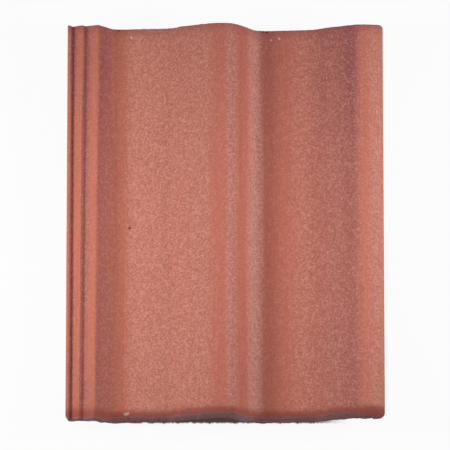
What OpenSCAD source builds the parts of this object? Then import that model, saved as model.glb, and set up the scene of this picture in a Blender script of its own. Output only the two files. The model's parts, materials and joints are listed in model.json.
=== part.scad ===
// Interlocking double-wave concrete roof tile, extruded in one piece and cut at both ends.
// It lies on its hanging nibs and its foremost weather bar, as it does unheld on a level floor.

/* [Tile] */
// Length from the foot to the head
tile_length = 420; // [400:1:440]
// Width that one tile covers, which holds two waves
cover_width = 300; // [286:1:320]
// Thickness of the wall under the pans and rolls
wall = 12; // [10:0.5:13]

/* [Wave] */
// Height of a roll's crest above the valley line of its pan
roll_height = 34.5; // [28:0.5:36]
// Fall of the crest from its left shoulder to its right one
crest_drop = 1.7; // [0:0.1:3]
// Width between the two shoulders of the crest
crest_width = 20.5; // [18:0.5:22]
// Width of the steep side of a roll
fall_run = 22.5; // [21:0.5:28]
// Width of the toe between the steep side and the valley line
toe_run = 12; // [10:0.5:14]
// Height of the toe above the valley line
toe_rise = 1.4; // [1:0.1:2]
// Height that the pan gains from the valley line to the foot of the gentle side
pan_rise = 7.5; // [6:0.5:9]
// Width of the lower, steeper part of the gentle side
flank_run = 12; // [11:0.5:14]
// Height of that lower part
flank_rise = 9.6; // [8:0.2:11]
// Width of the upper part of the gentle side
slope_run = 34; // [30:0.5:38]
// Rounding along the valley line
valley_radius = 25; // [15:1:40]
// Rounding at the foot and the break of the gentle side
flank_radius = 18; // [10:1:24]
// Rounding of the crest's left shoulder
crest_radius = 24; // [16:1:30]
// Rounding of the crest's right shoulder
shoulder_radius = 14; // [13:0.5:18]
// Rounding of the toe
toe_radius = 10; // [6:1:14]

/* [Side lock] */
// Width from the outer edge to the crest of the inner rib
lock_width = 30; // [28:0.5:34]
// Width of the outer rib's flat top
outer_rib_width = 5.2; // [4:0.2:6]
// Distance from the outer edge to the crest of the middle rib
middle_rib_place = 17; // [15:0.5:18]
// Height of the outer rib above the valley line
outer_rib_height = 15; // [13:0.5:16]
// Height of the middle rib above the valley line
middle_rib_height = 17; // [15:0.5:18]
// Height of the inner rib above the valley line
inner_rib_height = 19.5; // [18:0.5:20]
// Depth of each groove below the rib on its outer side
groove_depth = 4.5; // [3:0.5:6]
// Width of a groove's steep side
groove_run = 2.6; // [2:0.2:3.4]
// Width of the side that falls from the inner rib to the first pan's toe
lock_fall_run = 17; // [15:0.5:20]
// Rounding of the ribs and grooves
rib_radius = 1.2; // [0.6:0.1:1.6]
// Thickness of the lock under its outer groove
lock_flange = 10; // [8:0.5:11]

/* [Overlap] */
// Room between the overlap and the ribs of the next tile under it
lap_gap = 1.5; // [1:0.1:2]
// Thickness of the overlap's free edge
lip_thickness = 8; // [6:0.5:9]
// Rounding of the free edge
lip_radius = 4; // [2:0.5:5]

/* [Foot] */
// Length over which the top rounds down to the foot
nose_length = 11; // [8:0.5:13]
// Height that the top loses there
nose_drop = 10; // [6:0.5:10.5]
// Fullness of that rounding, from a plain bevel at 1 to a quarter of an ellipse at 2
nose_fullness = 1.4; // [1.2:0.1:2]
// Height of the weather bars under the foot
bar_depth = 5; // [3:0.5:7]
// Thickness of a weather bar
bar_width = 8; // [6:0.5:12]
// Distance from the foot to the first weather bar
bar_setback = 26; // [20:1:40]
// Distance between weather bars, centre to centre
bar_spacing = 32; // [24:1:40]
// Number of weather bars
bar_count = 2; // [1:1:3]

/* [Head] */
// Width of a hanging nib
nib_width = 34; // [26:1:40]
// Depth of a nib along the tile where it leaves the underside
nib_length = 18; // [14:1:22]
// Depth of a nib's flat end
nib_tip = 10; // [6:1:12]
// Height of a nib below the underside of the valley line
nib_height = 16; // [12:0.5:20]
// Distance from the head to the nibs
nib_setback = 2; // [1:0.5:4]
// Distance from the valley line to the middle of a nib
nib_place = 7; // [0:1:12]
// Radius of the blind nail holes
nail_radius = 3; // [2:0.25:4]
// Skin left over a nail hole, which is knocked out for nailing
nail_skin = 3; // [2:0.5:4]
// Distance from the head to the nail holes
nail_setback = 32; // [28:1:40]
// Distance from the valley line to a nail hole
nail_place = 30; // [24:1:34]

/* [Corners] */
// Rounding of the free edge's corner at the foot, seen from above
foot_corner = 6; // [3:0.5:8]
// Rounding of the free edge's corner at the head, seen from above
head_corner = 4; // [2:0.5:6]
// Chamfer of the lock's corner at the foot
lock_chamfer = 5; // [2:0.5:6]

/* [Hidden] */

tile_color = [0.76, 0.47, 0.40];
tile_width = cover_width + lock_width;
left_edge = -tile_width / 2;
right_edge = tile_width / 2;
wave_count = 2;
wave_pitch = cover_width / wave_count;
first_valley = left_edge + lock_width + lock_fall_run + toe_run;
pan_run = wave_pitch - flank_run - slope_run - crest_width - fall_run - toe_run;
valleys = [for (i = [0:wave_count - 1]) first_valley + i * wave_pitch];

// Turn between neighbouring points of a wide rounding and of a small one
wide_turn = 8;
small_turn = 24;
small_radius = 5;
// Columns of the section that lie nearer than this are one
column_gap = 0.12;
// Rounding left inside a bend that the wall's thickness uses up
least_radius = 3;
nose_steps = 4;
corner_steps = 6;
// Distance that a cut reaches past the surface it starts from
past = 2;
// Depth to which nibs and bars are rooted in the wall
root = 3;

// Rounding of corner b between a and c, shortened where a side is too short for it
function fillet(a, b, c, radius) =
    let (
        to_a = (a - b) / norm(a - b),
        to_c = (c - b) / norm(c - b),
        half = acos(max(-1, min(1, to_a * to_c))) / 2,
        reach = min(radius / tan(half), 0.49 * norm(a - b), 0.49 * norm(c - b)),
        used = reach * tan(half),
        centre = b + (to_a + to_c) / norm(to_a + to_c) * used / sin(half),
        first = b + to_a * reach - centre,
        last = b + to_c * reach - centre,
        start = atan2(first[1], first[0]),
        turn_raw = atan2(last[1], last[0]) - start,
        turn = turn_raw - 360 * round(turn_raw / 360),
        step = used < small_radius ? small_turn : wide_turn,
        count = max(1, ceil(abs(turn) / step))
    )
    [for (i = [0:count]) let (w = start + turn * i / count) centre + used * [cos(w), sin(w)]];

// A path of [x, z, radius] corners with its inner corners rounded and its two ends left out
function rounded(path) =
    [for (i = [1:len(path) - 2])
        each fillet(flat(path[i - 1]), flat(path[i]), flat(path[i + 1]), path[i][2])];

function flat(corner) = [corner[0], corner[1]];

// Upward normal of the stretch from a to b
function normal(a, b) = let (d = b - a) [-d[1], d[0]] / norm(d);

// Corner b moved below the surface by the wall's thickness, with the rounding that keeps the wall even
function under_corner(a, b, c) =
    let (
        p = flat(b),
        before = normal(flat(a), p),
        after = normal(p, flat(c)),
        place = p - wall * (before + after) / (1 + before * after),
        convex = before[0] < after[0],
        radius = convex ? max(least_radius, b[2] - wall) : b[2] + wall
    )
    [place[0], place[1], radius];

// Place at which the line through a and b reaches the height z
function line_place(a, b, z) = a[0] + (b[0] - a[0]) * (z - a[1]) / (b[1] - a[1]);

function sorted(list) =
    len(list) < 2 ? list :
    let (
        pivot = list[floor(len(list) / 2)],
        below = [for (v = list) if (v < pivot) v],
        same = [for (v = list) if (v == pivot) v],
        above = [for (v = list) if (v > pivot) v]
    )
    concat(sorted(below), same, sorted(above));

// Corners of the side lock's top, from the outer edge at x to the middle rib's groove
function lock_corners(x, z) = [
    [x + outer_rib_width, z + outer_rib_height, rib_radius],
    [x + outer_rib_width + groove_run, z + outer_rib_height - groove_depth, rib_radius],
    [x + middle_rib_place, z + middle_rib_height, rib_radius],
    [x + middle_rib_place + groove_run, z + middle_rib_height - groove_depth, rib_radius]
];

// Corners of one pan and the roll to its right, from the valley line at x
function wave_corners(x) = [
    [x, wall, valley_radius],
    [x + pan_run, wall + pan_rise, flank_radius],
    [x + pan_run + flank_run, wall + pan_rise + flank_rise, flank_radius],
    [x + pan_run + flank_run + slope_run, wall + roll_height, crest_radius],
    [x + pan_run + flank_run + slope_run + crest_width, wall + roll_height - crest_drop, shoulder_radius]
];

inner_rib = [left_edge + lock_width, wall + inner_rib_height, 2 * rib_radius];
first_toe = [first_valley - toe_run, wall + toe_rise, toe_radius];
second_toe = [valleys[1] - toe_run, wall + toe_rise, toe_radius];
wave_top = concat([inner_rib, first_toe], wave_corners(valleys[0]), [second_toe], wave_corners(valleys[1]));

// The overlap's underside repeats the next tile's lock, raised by the gap
next_lock = lock_corners(left_edge + cover_width, wall + lap_gap);
lip_under = wall + inner_rib_height + lap_gap;

top_corners = concat(
    [[left_edge, 0, 0], [left_edge, wall + outer_rib_height, 2 * rib_radius]],
    lock_corners(left_edge, wall),
    wave_top,
    [[right_edge, lip_under + lip_thickness, lip_radius], [right_edge, lip_under, 0]]
);

wave_under = [for (i = [1:len(wave_top) - 2]) under_corner(wave_top[i - 1], wave_top[i], wave_top[i + 1])];
lock_under = wall + outer_rib_height - groove_depth - lock_flange;
fall_normal = normal(flat(inner_rib), flat(first_toe));
lock_under_end = line_place(flat(inner_rib) - wall * fall_normal, flat(wave_under[0]), lock_under);
slope_under = len(wave_under) - 2;
lap_start = line_place(flat(wave_under[slope_under]), flat(wave_under[slope_under + 1]), next_lock[0][1]);
under_corners = concat(
    [[left_edge, lock_under, 0], [lock_under_end, lock_under, least_radius]],
    [for (i = [0:slope_under]) wave_under[i]],
    [[lap_start, next_lock[0][1], least_radius]],
    next_lock,
    [[right_edge, lip_under, 0]]
);

top_path = rounded(top_corners);
under_path = concat([flat(under_corners[0])], rounded(under_corners), [[right_edge, lip_under]]);
function top(x) = lookup(x, top_path);
function under(x) = lookup(x, under_path);

all_columns = sorted([for (p = concat(top_path, under_path)) p[0]]);
columns = concat(
    [left_edge],
    [for (i = [1:len(all_columns) - 1])
        let (x = all_columns[i])
        if (x - all_columns[i - 1] > column_gap && right_edge - x > column_gap) x],
    [right_edge]
);
column_count = len(columns);

// Share of the nose that the top takes at x: none on the lock's ribs, less on the thin free edge
function nose_share(x) =
    let (
        in_pan = (x - inner_rib[0]) / (first_toe[0] - inner_rib[0]),
        at_edge = (top(x) - under(x)) / wall
    )
    max(0, min(1, in_pan)) * min(1, at_edge);

// Height lost at a distance y from the foot
function nose_loss(y) =
    let (w = max(0, 1 - y / nose_length))
    nose_drop * (1 - pow(1 - pow(w, nose_fullness), 1 / nose_fullness));
nose_places = [for (i = [0:nose_steps]) nose_length * (1 - cos(90 * i / nose_steps))];

// Tilt at which the nibs and the first weather bar touch a level floor
nib_face = tile_length - nib_setback - nib_length;
rest_tilt = atan((nib_height - bar_depth) / (nib_face - bar_setback));
foot_top = max([for (x = columns) top(x) - nose_drop * nose_share(x)]);
rest_low = bar_setback * sin(rest_tilt) - bar_depth * cos(rest_tilt);
rest_middle = (tile_length * cos(rest_tilt) - foot_top * sin(rest_tilt)) / 2;

// A flat shape in x and z, drawn out along the tile from one distance to another
module along_tile(from, to) {
    translate([0, to, 0])
        rotate([90, 0, 0])
            linear_extrude(to - from)
                children();
}

module section() {
    polygon(concat(
        [for (x = columns) [x, top(x)]],
        [for (i = [column_count - 1:-1:0]) [columns[i], under(columns[i])]]
    ));
}

// The rounded foot, drawn through sections whose top sinks towards the front
module nose() {
    last = column_count - 1;
    ring = 2 * column_count;
    points = [for (y = nose_places) each concat(
        [for (x = columns) [x, y, top(x) - nose_loss(y) * nose_share(x)]],
        [for (x = columns) [x, y, under(x)]]
    )];
    front = [for (i = [0:last - 1]) each [
        [i, i + 1, column_count + i + 1],
        [i, column_count + i + 1, column_count + i]
    ]];
    back_start = nose_steps * ring;
    back = [for (f = front) [for (k = [2:-1:0]) back_start + f[k]]];
    skin = [for (s = [0:nose_steps - 1]) let (a = s * ring, b = a + ring) each concat(
        [for (i = [0:last - 1]) each [
            [a + i, b + i, b + i + 1],
            [a + i, b + i + 1, a + i + 1]
        ]],
        [for (i = [column_count:ring - 2]) each [
            [a + i, b + i + 1, b + i],
            [a + i, a + i + 1, b + i + 1]
        ]],
        [
            [a, a + column_count, b + column_count],
            [a, b + column_count, b],
            [a + last, b + last, b + ring - 1],
            [a + last, b + ring - 1, a + ring - 1]
        ]
    )];
    polyhedron(points, concat(front, skin, back));
}

// Bars across the underside, between the lock and the second roll's hollow
module weather_bars() {
    bar_columns = [for (x = columns) if (x > first_toe[0] && x < lap_start) x];
    count = len(bar_columns);
    for (i = [0:bar_count - 1])
        along_tile(bar_setback + i * bar_spacing, bar_setback + i * bar_spacing + bar_width)
            polygon(concat(
                [for (x = bar_columns) [x, under(x) + root]],
                [for (k = [count - 1:-1:0]) [bar_columns[k], under(bar_columns[k]) - bar_depth]]
            ));
}

// A nib hooks over a batten with its upright face
module hanging_nibs() {
    back = tile_length - nib_setback;
    for (valley = valleys)
        translate([valley + nib_place - nib_width / 2, 0, 0])
            rotate([90, 0, 90])
                linear_extrude(nib_width)
                    polygon([
                        [nib_face, wall / 2],
                        [nib_face, -nib_height],
                        [nib_face + nib_tip, -nib_height],
                        [back, -root],
                        [back, wall / 2]
                    ]);
}

module nail_holes() {
    for (valley = valleys) {
        x = valley + nail_place;
        translate([x, tile_length - nail_setback, -nib_height])
            cylinder(h = top(x) - nail_skin + nib_height, r = nail_radius, $fn = 48);
    }
}

// Outline of what a rounding takes off a corner that points along x_way and towards the head or the foot
function corner_outline(corner, x_way, y_way, radius) =
    let (
        ways = [x_way, y_way],
        centre = corner - radius * ways,
        outside = corner + past * ways
    )
    concat(
        [for (i = [0:corner_steps]) let (w = 90 * i / corner_steps)
            centre + radius * [x_way * cos(w), y_way * sin(w)]],
        [[centre[0], outside[1]], outside, [outside[0], centre[1]]]
    );

module corner_cuts() {
    depth = 2 * nib_height + wall + roll_height;
    translate([0, 0, -nib_height])
        linear_extrude(depth) {
            polygon(corner_outline([right_edge, 0], 1, -1, foot_corner));
            polygon(corner_outline([right_edge, tile_length], 1, 1, head_corner));
            polygon([
                [left_edge - past, -past],
                [left_edge + lock_chamfer + past, -past],
                [left_edge - past, lock_chamfer + past]
            ]);
        }
}

module roof_tile() {
    color(tile_color)
        translate([0, -rest_middle, -rest_low])
            rotate([rest_tilt, 0, 0])
                difference() {
                    union() {
                        along_tile(nose_length, tile_length) section();
                        nose();
                        weather_bars();
                        hanging_nibs();
                    }
                    nail_holes();
                    corner_cuts();
                }
}

roof_tile();
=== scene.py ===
"""Looks of an interlocking concrete roof tile: sandy coat, torn edges and a plain studio."""

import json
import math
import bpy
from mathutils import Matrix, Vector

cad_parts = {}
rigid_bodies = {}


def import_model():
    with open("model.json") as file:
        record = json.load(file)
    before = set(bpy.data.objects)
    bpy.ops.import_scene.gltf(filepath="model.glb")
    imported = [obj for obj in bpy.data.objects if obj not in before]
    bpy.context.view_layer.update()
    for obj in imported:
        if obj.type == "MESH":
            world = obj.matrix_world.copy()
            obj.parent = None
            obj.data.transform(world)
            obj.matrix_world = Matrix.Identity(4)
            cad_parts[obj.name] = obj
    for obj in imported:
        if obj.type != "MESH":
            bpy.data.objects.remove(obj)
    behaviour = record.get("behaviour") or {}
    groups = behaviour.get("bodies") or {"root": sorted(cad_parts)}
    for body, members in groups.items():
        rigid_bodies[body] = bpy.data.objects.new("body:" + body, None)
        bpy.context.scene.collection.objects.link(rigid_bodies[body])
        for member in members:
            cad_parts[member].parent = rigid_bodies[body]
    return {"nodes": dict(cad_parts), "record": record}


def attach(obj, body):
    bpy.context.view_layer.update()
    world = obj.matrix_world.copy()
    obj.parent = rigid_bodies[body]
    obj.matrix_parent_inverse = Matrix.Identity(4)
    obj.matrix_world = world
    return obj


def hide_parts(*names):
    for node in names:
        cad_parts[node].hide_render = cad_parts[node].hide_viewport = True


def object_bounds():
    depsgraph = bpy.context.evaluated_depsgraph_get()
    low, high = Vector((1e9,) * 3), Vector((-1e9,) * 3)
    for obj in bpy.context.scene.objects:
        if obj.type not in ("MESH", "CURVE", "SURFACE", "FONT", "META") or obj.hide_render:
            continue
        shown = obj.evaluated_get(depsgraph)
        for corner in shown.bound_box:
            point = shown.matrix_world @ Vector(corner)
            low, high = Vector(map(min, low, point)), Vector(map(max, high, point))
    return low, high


bl_info = {
    "name": "Concrete Roof Tile",
    "version": (1, 0, 0),
    "blender": (4, 5, 0),
    "location": "View3D > Sidebar > Roof Tile",
    "description": "Dresses an extruded concrete roof tile and lights it for a product picture",
    "category": "Object",
}

import bmesh
import bpy
from bpy.props import FloatProperty, FloatVectorProperty, PointerProperty
from mathutils import Matrix, Vector

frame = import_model()
mounts = {mount["name"]: mount for mount in frame["record"]["mounts"]}
CAD_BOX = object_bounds()

# Millimetres in a metre
MM = 1000

# The tile lies with its head raised, so it is worked on in its own flat frame and turned back at the end
UPHILL = -Vector(mounts["nib_face_left"]["axis"])
TILT = math.atan2(UPHILL.z, UPHILL.y)
TO_FLAT = Matrix.Rotation(-TILT, 4, "X")
FROM_FLAT = Matrix.Rotation(TILT, 4, "X")

# Bands of the coat across the tile, from the lock to the free edge:
# place in mm, rubbed smooth, paler (bare sand, and painted light on the roll's steep fall), painted shade
# in the hollows
BANDS = (
    (-165, 0.9, 0.0, 0.0),
    (-160.5, 0.9, 0.0, 0.0),
    (-158.8, 0.3, 0.3, 0.55),
    (-155.6, 0.4, 0.3, 0.55),
    (-153, 0.9, 0.0, 0.0),
    (-148.4, 0.9, 0.0, 0.0),
    (-146.6, 0.3, 0.3, 0.6),
    (-143, 0.5, 0.3, 0.55),
    (-139, 0.9, 0.0, 0.0),
    (-135, 0.9, 0.0, 0.0),
    (-132.5, 0.4, 0.2, 0.65),
    (-121, 0.4, 0.1, 0.5),
    (-115, 0.8, 0.0, 0.1),
    (-107, 0.8, 0.0, 0.0),
    (-98, 0.0, 0.1, 0.0),
    (-20, 0.0, 0.1, 0.08),
    (-10, 0.8, 0.0, 0.2),
    (-1, 0.8, 0.0, 0.2),
    (5, 0.1, 0.4, 0.2),
    (10, 0.1, 0.4, 0.2),
    (16, 0.8, 0.0, 0.3),
    (21, 0.8, 0.0, 0.2),
    (28, 0.0, 0.8, 0.1),
    (35, 0.0, 0.9, 0.1),
    (42, 0.8, 0.0, 0.35),
    (60, 0.8, 0.0, 0.2),
    (82, 0.1, 0.0, 0.2),
    (114, 0.0, 0.1, 0.42),
    (132, 0.15, 0.1, 0.62),
    (145, 0.7, 0.0, 0.05),
    (158, 0.1, 0.3, 0.0),
    (165, 0.6, 0.1, 0.0),
)

# Small marks on the weather side:
# mm across, mm from the foot, radius in mm, depth in mm, bare (1) or a dent with painted shade (-1)
MARKS = (
    (-98.6, 411.0, 1.3, 0.5, 1),
    (48.8, 409.5, 1.2, 0.5, 1),
    (57.2, 411.0, 1.2, 0.5, 1),
    (-103.4, 9.0, 1.5, 0.8, 1),
    (-100.8, 9.6, 1.7, 1.0, 1),
    (-99.6, 206.0, 1.2, 0.9, -1),
    (-112.0, 419.4, 1.8, 0.5, -1),
    (39.5, 419.6, 1.8, 0.5, -1),
    (43.5, 419.2, 1.8, 0.5, -1),
)

# Reach of a mark in its radii: the finer patch round it, its pressed middle and its colour, bare or
# painted shade
PATCH_REACH = 2.2
PIT_REACH = 0.6
MARK_PAINT_REACH = 1.5

# The lock's ribs run a little askew: mm across, and their shift in mm at the foot and at the head
RIB_SHIFTS = (
    (-165, 0.0, 0.0),
    (-157.2, -3.0, -3.0),
    (-145.4, -2.7, -0.9),
    (-134.5, 0.0, 2.3),
    (-118, 0.0, 0.0),
)
RIB_CAGE_COLUMNS = 25

# Mould edges below: the weather bars' stretch from the foot, and the reach of a nib round its face
BARS_FROM, BARS_TO = 0.025, 0.067
NIB_REACH = Vector((0.018, 0.019, 0.006))
NIB_FACE_SLACK = 0.001

# Skin and grid: what counts as one point, as flat and as an edge, and the rows of the grid near the ends
MERGE_DISTANCE = 1e-6
FLAT_ANGLE = math.radians(0.05)
SHARP_ANGLE = math.radians(40)
HEAD_SLICE = 1e-4
LEAST_COLUMN_GAP = 3e-4
FOOT_ROWS = (0.0015, 0.0041, 0.0073, 0.0105, 0.0122)
HEAD_ROWS = (0.0008, 0.0020, 0.0036)
LONG_EDGE = 0.3
CELLS_A_ROW = 3

# Parts of a normal by which faces and points are told apart
LEAST_RISE = 0.02
UPWARD = 0.1
WELL_UPWARD = 0.3
SQUARE_ON = 0.9

# Distance from the ends over which the cut concrete is torn
FOOT_TEAR = 0.005
HEAD_TEAR = 0.003

# Share of the grit that the die rubs off its smooth bands, and the coat's share on the side faces
GRIT_RUBBED_OFF = 0.8
SIDE_COAT = 0.6

# Linear colours of the painted shade in pits, of the shade on the cuts and of the painted shade in the air
# holes below
PIT_COLOR = (0.09, 0.035, 0.03)
CUT_SHADE = (0.05, 0.035, 0.035)
AIR_HOLE_COLOR = (0.06, 0.03, 0.025)

# Bands: how far they wander in metres, what the streaks make of them, the painted shade at the foot and
# how it deepens uphill
BAND_DRIFT = 0.006
LEAST_STREAK, STREAK_SWING = 0.55, 0.9
SHADE_AT_FOOT, SHADE_UPHILL = 0.9, 0.6
LINE_STRENGTH = 0.5

# Sand: how many of each kind lie along one coarse grain, the share of each size and the middle of
# their sum, what a smooth band loses of it, and how strongly light and dark grains show
FINE_COUNT, CLUMP_COUNT, STONE_COUNT = 2.2, 0.3, 0.6
COARSE_SHARE, FINE_SHARE, CLUMP_SHARE = 0.9, 0.5, 0.7
SAND_MIDDLE = 1.05
SMOOTH_LOSS = 0.65
LIGHT_GRAINS, DARK_GRAINS = 0.75, -0.8

# Painted shade at the ends: waves to the metre and reach in mm of the ragged edges, where the painted
# shade over the nose is darkest as a share of its fade, the strip of painted shade at the head in mm, and
# how far each of the two hides the coat
RAGGED_WAVES, RAGGED_REACH = 160.0, 7.0
NOSE_DARKEST = 0.4
HEAD_STRIP = 14.0
NOSE_SHADE, HEAD_SHADE = 0.9, 0.5
SPECKLE_WAVES, SPECKLE_GAIN = 900.0, 2.0
MARK_RIM = (0.1, 0.7)

# End of the coat: its distance from the foot in mm outside the pans, its soft width to each side and
# the bare strip at the head, and the places across in metres where the pans begin and are full
RIB_COAT_EDGE = 1.6
SOFT_EDGE = 1.5
HEAD_BARE = 1.4
LEFT_PAN_EDGE = (-0.142, -0.1)
RIGHT_PAN_EDGE = (0.152, 0.13)

# Concrete without a coat: share of the stones and of the shade on the cuts, reach and share of the
# cement skin and share of the dark sand below, air holes to the metre and their rims
STONE_SHARE, CUT_SHADE_SHARE = 0.5, 1.2
SKIN_REACH, SKIN_SHARE = (0.36, 0.68), 0.4
UNDER_SAND = 0.5
AIR_HOLES = 120.0
AIR_HOLE_RIM = (0.09, 0.14)

# Bump of the sand and depth of the air holes in it, and how rough the coat is, less on smooth bands
SAND_BUMP, HOLE_BUMP = 0.5, 1.5
COAT_ROUGHNESS, SMOOTH_SHEEN = 0.88, 0.22

# Floor: its paper, the darker paper painted as the tile's shadow, the share that is plain white to the
# camera, and how far the edge of the painted shadow at the foot is torn
FLOOR_SIZE = 60
PAPER_COLOR = (0.8, 0.8, 0.8)
SHADED_PAPER_COLOR = (0.42, 0.28, 0.27)
FLOOR_GLOW = 0.93
TORN_SHADE_REACH = 0.006

# Lamps and camera, in metres
LAMP_ACROSS = 0.76
LAMP_HEIGHT = 0.52
LAMP_AIM_HEIGHT = 0.03
LAMP_WIDTH, LAMP_LENGTH = 0.3, 0.4
LEFT_LAMP_ALONG = -0.042
RIGHT_LAMP_ALONG = 0.02
CAMERA_AIM = Vector((0.0, -0.0028, 0.0304))
CAMERA_FAR = 100


def paint(red, green, blue):
    """A colour given in 8-bit display values, as the linear colour that shaders take."""
    values = [v / 255 for v in (red, green, blue)]
    return [v / 12.92 if v <= 0.04045 else ((v + 0.055) / 1.055) ** 2.4 for v in values]


def color_property(name, description, *display):
    return FloatVectorProperty(
        name=name, description=description, subtype="COLOR", min=0, max=1, default=paint(*display)
    )


def length_property(name, description, default):
    return FloatProperty(
        name=name, description=description, default=default, min=0, unit="LENGTH", precision=5
    )


def angle_property(name, description, degrees):
    return FloatProperty(
        name=name, description=description, default=math.radians(degrees), subtype="ANGLE"
    )


class RoofTileLook(bpy.types.PropertyGroup):
    """Sizes and colours of the concrete"""

    cell: length_property("Cell", "Largest step of the grid on the weather side", 0.0015)
    under_cell: length_property("Underside cell", "Largest step of the grid on the underside", 0.008)
    mould_edge: length_property("Mould edge", "Rounding of the nibs and the weather bars", 0.0012)
    head_skew: length_property("Head skew", "Length that the head's cut takes off the free edge", 0.0036)
    # Where the painted shade over the nose begins
    nose_fade: length_property("Nose fade", "Distance from the foot where the coat starts to thin", 0.016)
    coat_edge: length_property("Coat edge", "Distance from the foot at which the coat ends", 0.0052)
    grain: length_property("Grain", "Size of the sand in the coat", 0.0014)
    sand_depth: length_property("Sand depth", "Relief of the sandy coat", 0.0003)
    grit_depth: length_property("Grit depth", "Relief of the single sand grains", 0.0002)
    torn_depth: length_property("Torn depth", "Relief of the ends where the wet concrete was cut", 0.0013)
    coat_color: color_property("Coat", "Sandy coat of the weather side", 197, 122, 103)
    streak_color: color_property("Smooth streak", "Coat that the die has rubbed smooth", 192, 109, 87)
    pale_color: color_property("Pale stripe", "Coat bleached by bare sand", 198, 138, 126)
    # Painted shade in the grooves, valleys, flanks and at the head; also the stones' colour in the cuts
    shade_and_stone_color: color_property("Dull", "Coat dulled by cement dust in the hollows", 152, 85, 85)
    # Pale stripes: bare sand, and painted light on the roll's steep fall
    light_sand: color_property("Light sand", "Bright grains in the coat", 226, 170, 156)
    dark_sand: color_property("Dark sand", "Dark grains in the coat", 146, 80, 70)
    # Painted shade over the nose
    nose_shade_color: color_property("Thin coat", "Coat that thins out over the nose", 156, 80, 69)
    cut_color: color_property("Cut", "Raw concrete on the cut ends", 134, 102, 105)
    bare_color: color_property("Bare", "Mortar laid bare by a chip", 214, 176, 162)
    under_color: color_property("Underside", "Uncoated concrete that lay on the mould", 162, 110, 98)
    dust_color: color_property("Dust", "Cement skin on the underside", 178, 150, 140)


class RoofTileStage(bpy.types.PropertyGroup):
    """Camera and light of the product picture"""

    elevation: angle_property("Elevation", "Height of the camera above the horizon", 76.3)
    distance: length_property("Distance", "Distance from the camera to the tile", 5.8)
    field: angle_property("Field of view", "Angle that the picture takes in", 4.63)
    dome: FloatProperty(name="Dome", description="Strength of the light from all round", default=0.36)
    spread: angle_property("Spread", "Angle into which each lamp shines", 68)
    left_power: FloatProperty(
        name="Left lamp", description="Power of the lamp beside the lock", default=0.9, unit="POWER"
    )
    right_power: FloatProperty(
        name="Right lamp", description="Power of the lamp beside the free edge", default=0.81, unit="POWER"
    )


def only_selected(piece):
    """Makes one object the only selected one and the active one."""
    bpy.ops.object.select_all(action="DESELECT")
    piece.select_set(True)
    bpy.context.view_layer.objects.active = piece


def copy_of_node(node, name):
    """A free copy of a CAD node in the flat frame, with its triangles merged into one skin."""
    only_selected(frame["nodes"][node])
    bpy.ops.object.duplicate()
    piece = bpy.context.view_layer.objects.active
    bpy.ops.object.parent_clear(type="CLEAR_KEEP_TRANSFORM")
    piece.name = piece.data.name = name
    piece.data.materials.clear()
    for key in [key for key in piece.keys() if key.startswith("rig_")]:
        del piece[key]
    piece.data.transform(TO_FLAT)
    bpy.ops.object.mode_set(mode="EDIT")
    bpy.ops.mesh.select_all(action="SELECT")
    bpy.ops.mesh.remove_doubles(threshold=MERGE_DISTANCE)
    bpy.ops.mesh.dissolve_limited(angle_limit=FLAT_ANGLE)
    bpy.ops.object.mode_set(mode="OBJECT")
    return piece


def mesh_box(piece):
    """Lowest and highest corner of a piece's mesh."""
    places = [v.co for v in piece.data.vertices]
    return tuple(Vector(pick(p[i] for p in places) for i in range(3)) for pick in (min, max))


def soften_mould_edges(piece, look):
    """Rounds the edges of the nibs and the weather bars, which a worn mould leaves soft."""
    foot = mesh_box(piece)[0].y
    faces = [mount for name, mount in mounts.items() if name.startswith("nib_face")]
    nibs = [TO_FLAT @ Vector(mount["pos_m"]) for mount in faces]

    def on_nib(offset):
        beside = abs(offset.x) < NIB_REACH.x
        behind = -NIB_FACE_SLACK < offset.y < NIB_REACH.y
        return beside and behind and offset.z < NIB_REACH.z

    def moulded(place):
        on_bar = BARS_FROM < place.y - foot < BARS_TO
        return on_bar or any(on_nib(place - nib) for nib in nibs)

    bpy.ops.object.mode_set(mode="EDIT")
    bpy.ops.mesh.select_mode(type="EDGE")
    bpy.ops.mesh.select_all(action="DESELECT")
    skin = bmesh.from_edit_mesh(piece.data)
    for edge in skin.edges:
        if edge.is_manifold and edge.is_convex and edge.calc_face_angle() > SHARP_ANGLE:
            edge.select_set(all(moulded(v.co) for v in edge.verts))
    bmesh.update_edit_mesh(piece.data)
    bpy.ops.mesh.bevel(offset=look.mould_edge, segments=2)
    bpy.ops.object.mode_set(mode="OBJECT")


def show_only(piece, wanted):
    """In edit mode, hides the faces whose normal fails a test."""
    bpy.ops.mesh.reveal(select=False)
    bpy.ops.mesh.select_mode(type="FACE")
    bpy.ops.mesh.select_all(action="DESELECT")
    skin = bmesh.from_edit_mesh(piece.data)
    for face in skin.faces:
        face.select_set(wanted(face.normal))
    bmesh.update_edit_mesh(piece.data)
    bpy.ops.mesh.hide(unselected=True)


def steps_between(places, cell):
    """Places that split each gap of a sorted list into equal steps of at most one cell."""
    added = []
    for start, end in zip(places, places[1:]):
        count = math.ceil((end - start) / cell)
        added += [start + (end - start) * i / count for i in range(1, count)]
    return added


def thin_out(values, least):
    """Sorted values, without those nearer than the least gap to the one before."""
    kept = []
    for value in sorted(values):
        if not kept or value - kept[-1] > least:
            kept.append(value)
    return kept


def cut_across(axis, places):
    """In edit mode, cuts all that shows with planes across one axis."""
    normal = Vector((0, 0, 0))
    normal[axis] = 1
    for place in places:
        bpy.ops.mesh.select_all(action="SELECT")
        bpy.ops.mesh.bisect(plane_co=normal * place, plane_no=normal)


def select_runs(piece, least):
    """In edit mode, selects the shown edges that run along the tile for more than the least length."""
    bpy.ops.mesh.select_mode(type="EDGE")
    bpy.ops.mesh.select_all(action="DESELECT")
    skin = bmesh.from_edit_mesh(piece.data)
    longest = 0
    for edge in skin.edges:
        run = abs(edge.verts[0].co.y - edge.verts[1].co.y)
        if run > least and not edge.hide:
            edge.select_set(True)
            longest = max(longest, run)
    bmesh.update_edit_mesh(piece.data)
    return longest


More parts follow.
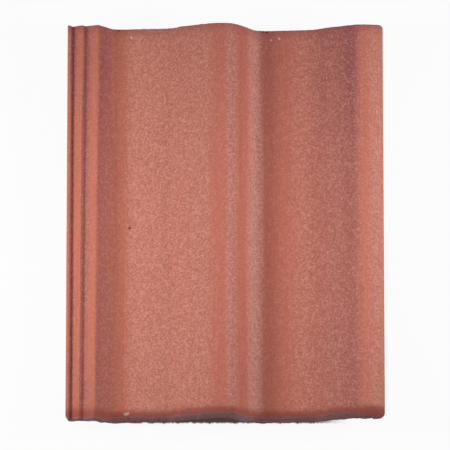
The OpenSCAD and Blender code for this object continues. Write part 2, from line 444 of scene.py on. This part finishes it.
def split_long_edges(piece, cell):
    """In edit mode, splits long edges into rows and these into cells, as a pass makes 100 cuts at most."""
    longest = select_runs(piece, LONG_EDGE)
    bpy.ops.mesh.subdivide(number_cuts=math.ceil(longest / (CELLS_A_ROW * cell)) - 1)
    select_runs(piece, (CELLS_A_ROW - 1) * cell)
    bpy.ops.mesh.subdivide(number_cuts=CELLS_A_ROW - 1)


def cut_grid(piece, look):
    """Cuts the weather side, the ends and the underside into cells that relief can shape."""
    low, high = mesh_box(piece)
    at_head = (v.co.x for v in piece.data.vertices if v.co.y > high.y - HEAD_SLICE)
    columns = thin_out(at_head, LEAST_COLUMN_GAP)
    fine_columns = steps_between(columns, look.cell)
    bpy.ops.object.mode_set(mode="EDIT")
    show_only(piece, lambda normal: normal.z > LEAST_RISE or abs(normal.x) > SQUARE_ON)
    cut_across(0, fine_columns)
    cut_across(1, [low.y + row for row in FOOT_ROWS])
    cut_across(1, [high.y - row for row in HEAD_ROWS])
    split_long_edges(piece, look.cell)
    show_only(piece, lambda normal: normal.z < -LEAST_RISE)
    cut_across(0, steps_between(columns, look.under_cell))
    cut_across(1, steps_between([low.y, high.y], look.under_cell))
    show_only(piece, lambda normal: abs(normal.y) > SQUARE_ON)
    cut_across(0, fine_columns)
    bpy.ops.mesh.reveal(select=False)
    bpy.ops.object.mode_set(mode="OBJECT")


def near_mark(place, foot, mark, reach):
    """Share that a place on the weather side has of a mark, from 1 in its middle to 0 at its reach."""
    across, along, radius = (value / MM for value in mark[:3])
    distance = math.hypot(place.x - across, place.y - foot - along)
    return max(0.0, 1 - distance / (reach * radius))


def press_marks(piece):
    """Presses the small chips and pits into the weather side, each on a finer patch of the grid."""
    foot = mesh_box(piece)[0].y
    bpy.ops.object.mode_set(mode="EDIT")
    for mark in MARKS:
        bpy.ops.mesh.select_mode(type="FACE")
        bpy.ops.mesh.select_all(action="DESELECT")
        skin = bmesh.from_edit_mesh(piece.data)
        for face in skin.faces:
            middle = face.calc_center_median()
            if face.normal.z > WELL_UPWARD and near_mark(middle, foot, mark, PATCH_REACH) > 0:
                face.select_set(True)
        bmesh.update_edit_mesh(piece.data)
        bpy.ops.mesh.subdivide(number_cuts=2)
        bpy.ops.mesh.select_mode(type="VERT")
        bpy.ops.mesh.select_all(action="DESELECT")
        skin = bmesh.from_edit_mesh(piece.data)
        for vertex in skin.verts:
            if vertex.normal.z > WELL_UPWARD and near_mark(vertex.co, foot, mark, PIT_REACH) > 0:
                vertex.select_set(True)
        bmesh.update_edit_mesh(piece.data)
        bpy.ops.transform.translate(
            value=(0, 0, -mark[3] / MM), use_proportional_edit=True,
            proportional_edit_falloff="SMOOTH", proportional_size=mark[2] / MM,
        )
    bpy.ops.object.mode_set(mode="OBJECT")


def split_wide_faces(piece):
    """Splits faces of more than four sides into well-shaped triangles, so that the skin stays closed."""
    bpy.ops.object.mode_set(mode="EDIT")
    bpy.ops.mesh.select_mode(type="FACE")
    bpy.ops.mesh.select_all(action="DESELECT")
    bpy.ops.mesh.select_face_by_sides(number=4, type="GREATER")
    bpy.ops.mesh.quads_convert_to_tris(ngon_method="BEAUTY")
    bpy.ops.object.mode_set(mode="OBJECT")


def read_table(rows, across, column):
    """Value in one column of a table at a place across the tile, on a straight line between its rows."""
    mm = across * MM
    for before, after in zip(rows, rows[1:]):
        if mm <= after[0]:
            share = max(0.0, (mm - before[0]) / (after[0] - before[0]))
            return before[column] + (after[column] - before[column]) * share
    return rows[-1][column]


def cage_over(low, high, columns):
    """A cage of straight cells over a box, with a number of columns across the tile."""
    bpy.ops.object.select_all(action="DESELECT")
    bpy.ops.object.add(type="LATTICE", location=(low + high) / 2)
    cage = bpy.context.object
    cage.scale = high - low
    cage.data.points_u = columns
    cage.data.interpolation_type_u = cage.data.interpolation_type_v = "KEY_LINEAR"
    return cage


def apply_cage(piece, cage):
    """Moves a piece with the points of a cage, and takes the cage away."""
    bpy.context.view_layer.update()
    pull = piece.modifiers.new("cage", "LATTICE")
    pull.object = cage
    only_selected(piece)
    bpy.ops.object.modifier_apply(modifier=pull.name)
    bpy.data.objects.remove(cage)


def shift_ribs(piece):
    """Sets the lock's ribs a little askew, as they were drawn."""
    low, high = mesh_box(piece)
    low.x, high.x = RIB_SHIFTS[0][0] / MM, RIB_SHIFTS[-1][0] / MM
    cage = cage_over(low, high, RIB_CAGE_COLUMNS)
    for point in cage.data.points:
        across = cage.location.x + point.co.x * cage.scale.x
        end = 2 if point.co.y > 0 else 1
        point.co_deform.x += read_table(RIB_SHIFTS, across, end) / MM / cage.scale.x
    apply_cage(piece, cage)


def skew_head(piece, look):
    """Turns the head's cut a little out of square, as the knife left it."""
    cage = cage_over(*mesh_box(piece), columns=2)
    for point in cage.data.points:
        if point.co.x > 0 and point.co.y > 0:
            point.co_deform.y -= look.head_skew / cage.scale.y
    apply_cage(piece, cage)


def weigh(piece, name, weight):
    """Adds a vertex group whose weight comes from each vertex's place and normal."""
    group = piece.vertex_groups.new(name=name)
    for vertex in piece.data.vertices:
        share = weight(vertex.co, vertex.normal)
        if share > 0:
            group.add([vertex.index], min(1, share), "REPLACE")


def roughen(piece, group, size, depth, direction="NORMAL", inwards=-1, contrast=1.0):
    """Sinks the vertices of a group by a cloudy pattern of a given size, and applies it."""
    clouds = bpy.data.textures.new(group, type="CLOUDS")
    clouds.noise_scale = size
    clouds.noise_depth = 2
    clouds.contrast = contrast
    relief = piece.modifiers.new(group, "DISPLACE")
    relief.texture = clouds
    relief.texture_coords = "LOCAL"
    relief.vertex_group = group
    relief.direction = direction
    relief.mid_level = 0
    relief.strength = inwards * depth
    only_selected(piece)
    bpy.ops.object.modifier_apply(modifier=relief.name)


def ramp_up(value, start, end):
    """0 up to start, 1 from end, and a smooth rise between them."""
    share = max(0.0, min(1.0, (value - start) / (end - start)))
    return share * share * (3 - 2 * share)


def shape_relief(piece, look):
    """Gives the coat its sand, the ends their torn face and the underside its mould marks."""
    low, high = mesh_box(piece)

    def coated(place, normal):
        return ramp_up(normal.z, start=0.2, end=0.6)

    def gritty(place, normal):
        return coated(place, normal) * (1 - GRIT_RUBBED_OFF * read_table(BANDS, place.x, column=1))

    def at_foot(place, normal):
        return 1 - ramp_up(place.y - low.y, start=0.0, end=FOOT_TEAR)

    def at_head(place, normal):
        return 1 - ramp_up(high.y - place.y, start=0.0, end=HEAD_TEAR)

    def on_head_rim(place, normal):
        return at_head(place, normal) * (normal.z > UPWARD)

    def moulded(place, normal):
        return ramp_up(-normal.z, start=0.3, end=0.7)

    weigh(piece, "sand", coated)
    weigh(piece, "grit", gritty)
    weigh(piece, "torn_foot", at_foot)
    weigh(piece, "torn_head", at_head)
    weigh(piece, "worn_head", on_head_rim)
    weigh(piece, "mould", moulded)
    torn = look.torn_depth
    roughen(piece, "sand", size=0.005, depth=look.sand_depth)
    roughen(piece, "grit", size=0.0024, depth=look.grit_depth, contrast=2.0)
    roughen(piece, "torn_foot", size=0.011, depth=torn, direction="Y", inwards=1, contrast=2.0)
    roughen(piece, "torn_foot", size=0.004, depth=0.3 * torn, direction="Y", inwards=1, contrast=2.0)
    roughen(piece, "torn_head", size=0.004, depth=0.25 * torn, direction="Y", contrast=2.0)
    roughen(piece, "worn_head", size=0.012, depth=0.35 * torn, direction="Z", contrast=2.0)
    roughen(piece, "mould", size=0.02, depth=2 * look.sand_depth)


def mark_zones(piece):
    """Stores what the coat depends on: upward faces, place across, mm from the ends, and small marks."""
    low, high = mesh_box(piece)
    names = ("up", "foot", "head", "mark", "across")
    for name in names:
        piece.data.attributes.new(name, "FLOAT", "POINT")
    upward, foot, head, mark, across = (piece.data.attributes[name].data for name in names)
    for vertex in piece.data.vertices:
        place = vertex.co
        on_side = SIDE_COAT * ramp_up(abs(vertex.normal.x), start=0.6, end=0.9)
        on_top = ramp_up(vertex.normal.z, start=-0.1, end=0.25)
        upward[vertex.index].value = max(on_top, on_side)
        across[vertex.index].value = place.x
        foot[vertex.index].value = (place.y - low.y) * MM
        head[vertex.index].value = (high.y - place.y) * MM
        if vertex.normal.z > UPWARD:
            # Bare chips count up, pits with painted shade count down
            mark_paint = (near_mark(place, low.y, m, MARK_PAINT_REACH) * m[4] for m in MARKS)
            mark[vertex.index].value = sum(mark_paint)


class Wiring:
    """Adds nodes to one shader tree and joins them."""

    def __init__(self, tree):
        self.tree = tree
        tree.nodes.clear()

    def put(self, socket, value):
        """Links or sets a socket, with full alpha where a colour comes with three values."""
        if isinstance(value, bpy.types.NodeSocket):
            self.tree.links.new(value, socket)
            return
        if socket.type == "RGBA" and len(value) == 3:
            value = (*value, 1)
        socket.default_value = value

    def node(self, kind, inputs=(), **settings):
        made = self.tree.nodes.new(kind)
        for name, value in settings.items():
            setattr(made, name, value)
        for name, value in dict(inputs).items():
            self.put(made.inputs[name], value)
        return made

    def math(self, operation, *values, clamp=False):
        made = self.node("ShaderNodeMath", enumerate(values), operation=operation, use_clamp=clamp)
        return made.outputs[0]

    def times(self, first, second, clamp=False):
        return self.math("MULTIPLY", first, second, clamp=clamp)

    def rest(self, share):
        """What a share leaves of 1."""
        return self.math("SUBTRACT", 1.0, share)

    def centred(self, value):
        """A value from 0 to 1, moved to lie on both sides of 0."""
        return self.math("SUBTRACT", value, 0.5)

    def mix(self, share, first, second, blend="MIX"):
        inputs = {0: share, 6: first, 7: second}
        return self.node("ShaderNodeMix", inputs, data_type="RGBA", blend_type=blend).outputs[2]

    def noise(self, place, scale, detail=2.0, roughness=0.5):
        inputs = {"Vector": place, "Scale": scale, "Detail": detail, "Roughness": roughness}
        return self.node("ShaderNodeTexNoise", inputs).outputs["Fac"]

    def streaks(self, place, stretch, detail=2.0, roughness=0.5):
        """Noise with a number of waves to the metre of its own along each axis."""
        spread = self.node("ShaderNodeVectorMath", {0: place, 1: stretch}, operation="MULTIPLY")
        return self.noise(spread.outputs[0], 1.0, detail, roughness)

    def grains(self, place, scale):
        """A value of its own for each grain."""
        cells = self.node("ShaderNodeTexVoronoi", {"Vector": place, "Scale": scale})
        return self.node("ShaderNodeSeparateColor", {0: cells.outputs["Color"]}).outputs[0]

    def between(self, value, start, end):
        """0 at start, 1 at end, and a smooth way between them."""
        inputs = {"Value": value, "From Min": start, "From Max": end}
        return self.node("ShaderNodeMapRange", inputs, interpolation_type="SMOOTHSTEP").outputs[0]

    def attribute(self, name):
        return self.node("ShaderNodeAttribute", attribute_name=name).outputs["Fac"]

    def white_rays(self):
        """1 for the rays to which the surroundings are plain white."""
        path = self.node("ShaderNodeLightPath").outputs
        seen = self.math("MAXIMUM", path["Is Camera Ray"], path["Is Glossy Ray"])
        return self.math("MAXIMUM", seen, path["Is Transmission Ray"])


def band_tones(w, place):
    """Place across the tile, wandering a little, how smooth and pale the coat is there, and its painted
    shade.
    """
    drift = w.times(w.centred(w.streaks(place, stretch=(60, 9, 0))), BAND_DRIFT)
    across = w.math("ADD", w.attribute("across"), drift)
    half = CAD_BOX[1].x
    inputs = {"Value": across, "From Min": -half, "From Max": half}
    bands = w.node("ShaderNodeValToRGB", {0: w.node("ShaderNodeMapRange", inputs).outputs[0]})
    bands.color_ramp.interpolation = "EASE"
    stops = bands.color_ramp.elements
    for mm, *tones in BANDS[1:-1]:
        stops.new((mm / MM + half) / (2 * half)).color = (*tones, 1)
    stops[0].color = (*BANDS[0][1:], 1)
    stops[-1].color = (*BANDS[-1][1:], 1)
    tones = w.node("ShaderNodeSeparateColor", {0: bands.outputs[0]}).outputs
    streaky = w.times(w.streaks(place, stretch=(420, 14, 0), detail=3.0), STREAK_SWING)
    smooth = w.times(tones[0], w.math("ADD", LEAST_STREAK, streaky), clamp=True)
    # Painted shade, deeper towards the head
    along = w.node("ShaderNodeSeparateXYZ", {0: place}).outputs["Y"]
    uphill = w.between(along, start=0.0, end=CAD_BOX[1].y)
    dust = w.math("MULTIPLY_ADD", uphill, SHADE_UPHILL, SHADE_AT_FOOT)
    painted_shade = w.times(tones[2], dust, clamp=True)
    return across, smooth, tones[1], painted_shade


def sand_pattern(w, place, look):
    """Sand of three sizes, from dark grains below 0 to light ones above it."""
    coarse = w.grains(place, 1 / look.grain)
    fine = w.grains(place, FINE_COUNT / look.grain)
    clumps = w.noise(place, CLUMP_COUNT / look.grain, detail=3.0, roughness=0.6)
    sand = w.math("MULTIPLY_ADD", fine, FINE_SHARE, w.times(clumps, CLUMP_SHARE))
    sand = w.math("MULTIPLY_ADD", coarse, COARSE_SHARE, sand)
    return w.math("SUBTRACT", sand, SAND_MIDDLE)


def shade_and_chips(w, coat, place, look, from_foot, from_head):
    """Paints shade over the nose and at the head, lays the small chips bare and paints shade into the
    small pits.
    """
    fade = look.nose_fade * MM
    # Painted shade over the nose
    thin = w.rest(w.between(from_foot, start=NOSE_DARKEST * fade, end=fade))
    coat = w.mix(w.times(thin, NOSE_SHADE), coat, look.nose_shade_color)
    # Painted shade at the head
    worn = w.rest(w.between(from_head, start=0.0, end=HEAD_STRIP))
    coat = w.mix(w.times(worn, HEAD_SHADE), coat, look.shade_and_stone_color)
    speckle = w.times(w.noise(place, SPECKLE_WAVES), SPECKLE_GAIN)
    mark = w.times(w.attribute("mark"), speckle)
    coat = w.mix(w.between(mark, *MARK_RIM), coat, look.bare_color)
    # Painted shade in the pits
    return w.mix(w.between(w.times(mark, -1.0), *MARK_RIM), coat, PIT_COLOR)


def cut_concrete(w, place, look, dark):
    """Raw concrete of the cut ends, with its stones."""
    stones = w.grains(place, STONE_COUNT / look.grain)
    cut = w.mix(w.times(stones, STONE_SHARE), look.cut_color, look.shade_and_stone_color)
    return w.mix(w.times(dark, CUT_SHADE_SHARE, clamp=True), cut, CUT_SHADE)


def under_concrete(w, place, look, dark, holes):
    """Concrete that lay on the mould, with its cement skin and air holes."""
    skin = w.streaks(place, stretch=(26, 9, 26), detail=5.0, roughness=0.65)
    skin = w.between(skin, *SKIN_REACH)
    under = w.mix(w.times(skin, SKIN_SHARE), look.under_color, look.dust_color)
    under = w.mix(w.times(dark, UNDER_SAND), under, look.dark_sand)
    # Painted shade in the air holes
    return w.mix(holes, under, AIR_HOLE_COLOR)


def concrete(look):
    """Coated concrete on the weather side, raw concrete on the cuts, mould-smooth concrete below."""
    material = bpy.data.materials.new("coated_concrete")
    material.use_nodes = True
    w = Wiring(material.node_tree)
    place = w.node("ShaderNodeTexCoord").outputs["Object"]
    place = w.node("ShaderNodeMapping", {"Vector": place, "Rotation": (-TILT, 0, 0)}).outputs[0]
    across, smooth, pale, painted_shade = band_tones(w, place)
    sand = sand_pattern(w, place, look)
    sandy = w.rest(w.times(smooth, SMOOTH_LOSS))
    light = w.times(w.times(sand, LIGHT_GRAINS, clamp=True), sandy)
    dark = w.times(w.times(sand, DARK_GRAINS, clamp=True), sandy)

    # Coat of the weather side, with the fine lines that the die drew where it is smooth
    coat = w.mix(smooth, look.coat_color, look.streak_color)
    drawn = w.centred(w.streaks(place, stretch=(1300, 5, 0)))
    lines = w.math("MULTIPLY_ADD", drawn, w.times(smooth, LINE_STRENGTH), 1.0)
    coat = w.mix(1.0, coat, lines, "MULTIPLY")
    # Paler bands: bare sand, and painted light on the roll's steep fall
    coat = w.mix(pale, coat, look.pale_color)
    # Painted shade in the grooves, valleys and flanks, deeper towards the head
    coat = w.mix(painted_shade, coat, look.shade_and_stone_color)
    coat = w.mix(light, coat, look.light_sand)
    coat = w.mix(dark, coat, look.dark_sand)
    ragged = w.centred(w.noise(place, RAGGED_WAVES, detail=3.0, roughness=0.6))
    ragged = w.times(ragged, RAGGED_REACH)
    from_foot = w.math("ADD", w.attribute("foot"), ragged)
    from_head = w.math("ADD", w.attribute("head"), ragged)
    coat = shade_and_chips(w, coat, place, look, from_foot, from_head)

    # The coat reaches nearer to the foot on the lock and the free edge than in the pans
    in_pans = w.times(w.between(across, *LEFT_PAN_EDGE), w.between(across, *RIGHT_PAN_EDGE))
    edge = w.math("MULTIPLY_ADD", in_pans, look.coat_edge * MM - RIB_COAT_EDGE, RIB_COAT_EDGE)
    coat_start = w.between(w.math("SUBTRACT", from_foot, edge), start=-SOFT_EDGE, end=SOFT_EDGE)
    past_cuts = w.times(coat_start, w.between(w.attribute("head"), start=0.0, end=HEAD_BARE))
    coated = w.times(w.attribute("up"), past_cuts)

    air = w.node("ShaderNodeTexVoronoi", {"Vector": place, "Scale": AIR_HOLES}).outputs["Distance"]
    holes = w.rest(w.between(air, *AIR_HOLE_RIM))
    under = under_concrete(w, place, look, dark, holes)
    raw = w.mix(past_cuts, cut_concrete(w, place, look, dark), under)

    height = w.times(sand, w.times(sandy, SAND_BUMP))
    hollow = w.times(holes, w.rest(coated))
    height = w.math("SUBTRACT", height, w.times(hollow, HOLE_BUMP))
    bump = w.node("ShaderNodeBump", {"Strength": 0.7, "Distance": 0.0006, "Height": height})
    surface = w.node(
        "ShaderNodeBsdfPrincipled",
        {
            "Base Color": w.mix(coated, raw, coat),
            "Roughness": w.math("SUBTRACT", COAT_ROUGHNESS, w.times(smooth, SMOOTH_SHEEN)),
            "Specular IOR Level": 0.15,
            "Normal": bump.outputs[0],
        },
    )
    w.node("ShaderNodeOutputMaterial", {"Surface": surface.outputs[0]})
    return material


class ROOFTILE_OT_make_body(bpy.types.Operator):
    """Copies the tile's solid, cuts it into a fine grid and gives it the relief of pressed concrete"""

    bl_idname = "roof_tile.make_body"
    bl_label = "Tile"

    def execute(self, context):
        look = context.scene.roof_tile_look
        tile = copy_of_node("roof_tile", "tile_body")
        soften_mould_edges(tile, look)
        cut_grid(tile, look)
        press_marks(tile)
        split_wide_faces(tile)
        mark_zones(tile)
        shape_relief(tile, look)
        shift_ribs(tile)
        skew_head(tile, look)
        tile.data.transform(FROM_FLAT)
        only_selected(tile)
        bpy.ops.object.shade_smooth_by_angle(angle=SHARP_ANGLE)
        tile.data.materials.append(concrete(look))
        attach(tile, "root")
        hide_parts("roof_tile")
        return {"FINISHED"}


def white_floor():
    """A pale floor that the camera sees as white where nothing lies on it, with a painted shadow under the
    tile, and sees through from below.
    """
    material = bpy.data.materials.new("white_floor")
    material.use_nodes = True
    w = Wiring(material.node_tree)
    place = w.node("ShaderNodeTexCoord").outputs["Object"]
    axes = w.node("ShaderNodeSeparateXYZ", {0: place}).outputs
    ragged = w.centred(w.streaks(place, stretch=(150, 0, 0), detail=3.0, roughness=0.6))
    torn = w.math("MULTIPLY_ADD", ragged, TORN_SHADE_REACH, axes["Y"])

    # Under the tile the floor is painted as shadow: darker reddish paper without the glow, from just
    # inside the torn foot to well under the head
    painted_shadow = 1.0
    foot, head = CAD_BOX[0].y, CAD_BOX[1].y
    for value, outside, inside in (
        (axes["X"], -0.12, -0.08),
        (axes["X"], 0.13, 0.09),
        (torn, foot + 0.0022, foot + 0.0042),
        (axes["Y"], head - 0.002, head - 0.05),
    ):
        painted_shadow = w.times(painted_shadow, w.between(value, outside, inside))
    paper = w.node("ShaderNodeBsdfDiffuse", {"Color": w.mix(painted_shadow, PAPER_COLOR, SHADED_PAPER_COLOR)})
    glow = w.node("ShaderNodeEmission", {"Color": (1, 1, 1), "Strength": 1.0})
    white = w.times(w.white_rays(), w.times(w.rest(painted_shadow), FLOOR_GLOW))
    above = w.node("ShaderNodeMixShader", {0: white, 1: paper.outputs[0], 2: glow.outputs[0]})
    clear = w.node("ShaderNodeBsdfTransparent")
    below = w.node("ShaderNodeNewGeometry").outputs["Backfacing"]
    both = w.node("ShaderNodeMixShader", {0: below, 1: above.outputs[0], 2: clear.outputs[0]})
    w.node("ShaderNodeOutputMaterial", {"Surface": both.outputs[0]})
    return material


def soft_dome(strength):
    """An even white surround that is pure white to the camera and gives the tile its soft light."""
    world = bpy.data.worlds.new("dome")
    world.use_nodes = True
    w = Wiring(world.node_tree)
    level = w.math("ADD", strength, w.times(w.white_rays(), 1 - strength))
    sky = w.node("ShaderNodeBackground", {"Color": (1, 1, 1), "Strength": level})
    w.node("ShaderNodeOutputWorld", {"Surface": sky.outputs[0]})
    return world


def add_lamp(name, across, along, power, spread):
    """A soft lamp beside the tile that shines across it."""
    bpy.ops.object.light_add(type="AREA", location=(across, along, LAMP_HEIGHT))
    lamp = bpy.context.object
    lamp.name = name
    lamp.data.shape = "RECTANGLE"
    lamp.data.size, lamp.data.size_y = LAMP_WIDTH, LAMP_LENGTH
    lamp.data.energy = power
    lamp.data.spread = spread
    towards = Vector((0, along, LAMP_AIM_HEIGHT)) - lamp.location
    lamp.rotation_euler = towards.to_track_quat("-Z", "Y").to_euler()


class ROOFTILE_OT_make_stage(bpy.types.Operator):
    """Sets the pale floor, the two side lamps and the camera"""

    bl_idname = "roof_tile.make_stage"
    bl_label = "Studio"

    def execute(self, context):
        stage = context.scene.roof_tile_stage
        scene = context.scene
        bpy.ops.object.select_all(action="DESELECT")
        bpy.ops.mesh.primitive_plane_add(size=FLOOR_SIZE, location=(0, 0, 0))
        floor = context.object
        floor.name = "floor"
        floor.data.materials.append(white_floor())
        scene.world = soft_dome(stage.dome)
        scene.view_settings.view_transform = "Standard"
        add_lamp("left_lamp", -LAMP_ACROSS, LEFT_LAMP_ALONG, stage.left_power, stage.spread)
        add_lamp("right_lamp", LAMP_ACROSS, RIGHT_LAMP_ALONG, stage.right_power, stage.spread)
        back = Vector((0, -math.cos(stage.elevation), math.sin(stage.elevation)))
        bpy.ops.object.camera_add(location=CAMERA_AIM + back * stage.distance)
        camera = context.object
        camera.name = "camera"
        camera.data.angle = stage.field
        camera.rotation_euler = (math.pi / 2 - stage.elevation, 0, 0)
        camera.data.clip_end = CAMERA_FAR
        scene.camera = camera
        return {"FINISHED"}


class ROOFTILE_PT_panel(bpy.types.Panel):
    """Lists the steps that dress the tile"""

    bl_idname = "ROOFTILE_PT_panel"
    bl_label = "Roof Tile"
    bl_space_type = "VIEW_3D"
    bl_region_type = "UI"
    bl_category = "Roof Tile"

    def draw(self, context):
        column = self.layout.column()
        column.operator("roof_tile.make_body")
        column.operator("roof_tile.make_stage")


CLASSES = (RoofTileLook, RoofTileStage, ROOFTILE_OT_make_body, ROOFTILE_OT_make_stage, ROOFTILE_PT_panel)


def register():
    for made in CLASSES:
        bpy.utils.register_class(made)
    bpy.types.Scene.roof_tile_look = PointerProperty(type=RoofTileLook)
    bpy.types.Scene.roof_tile_stage = PointerProperty(type=RoofTileStage)


def unregister():
    del bpy.types.Scene.roof_tile_stage
    del bpy.types.Scene.roof_tile_look
    for made in reversed(CLASSES):
        bpy.utils.unregister_class(made)


def main():
    register()
    bpy.ops.roof_tile.make_body()
    bpy.ops.roof_tile.make_stage()


if __name__ == "__main__":
    main()
